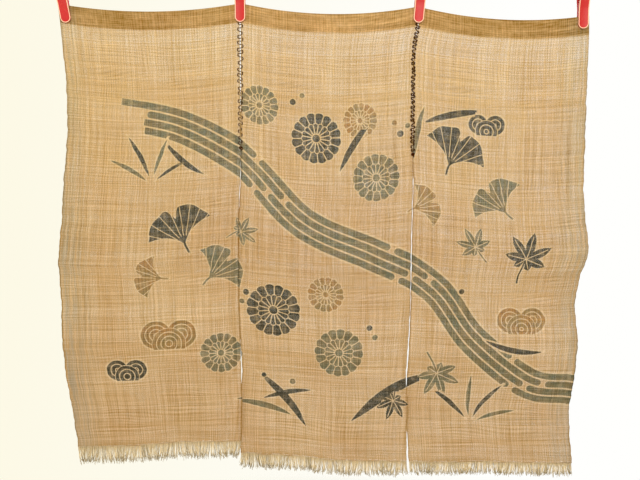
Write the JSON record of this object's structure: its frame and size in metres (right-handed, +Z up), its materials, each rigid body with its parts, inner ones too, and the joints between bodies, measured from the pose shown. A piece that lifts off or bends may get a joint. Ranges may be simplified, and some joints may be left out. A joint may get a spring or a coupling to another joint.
{
  "type": "noren curtain with hanging clips",
  "caption": "Split doorway curtain of open-weave cloth panels, laced together near the top and fringed below, held along its folded header by spring clips.",
  "frame": {"origin": "top edge of the cloth, midway between the outer selvedges, at the height of the top fold under the second clip", "axes": "+X to the right along the hanging line, -Y out of the printed face towards the viewer, +Z up"},
  "size_m": [1.0538, 0.0264, 0.9921],
  "materials": {
    "hemp_cloth": "sheer hand-woven hemp, tan, with a faded grey-green and slate print",
    "lacing_thread": "dark brown twisted thread",
    "clip_plastic": "moulded red with a pale peach rim",
    "spring_steel": "bright wire"
  },
  "bodies": {
    "root": {"panel_left": "hemp_cloth", "panel_middle": "hemp_cloth", "panel_right": "hemp_cloth", "clip_1_front_jaw": "clip_plastic", "clip_1_back_jaw": "clip_plastic", "clip_1_spring": "spring_steel", "clip_2_front_jaw": "clip_plastic", "clip_2_back_jaw": "clip_plastic", "clip_2_spring": "spring_steel", "clip_3_front_jaw": "clip_plastic", "clip_3_back_jaw": "clip_plastic", "clip_3_spring": "spring_steel", "clip_4_front_jaw": "clip_plastic", "clip_4_back_jaw": "clip_plastic", "clip_4_spring": "spring_steel"}
  },
  "joints": []
}
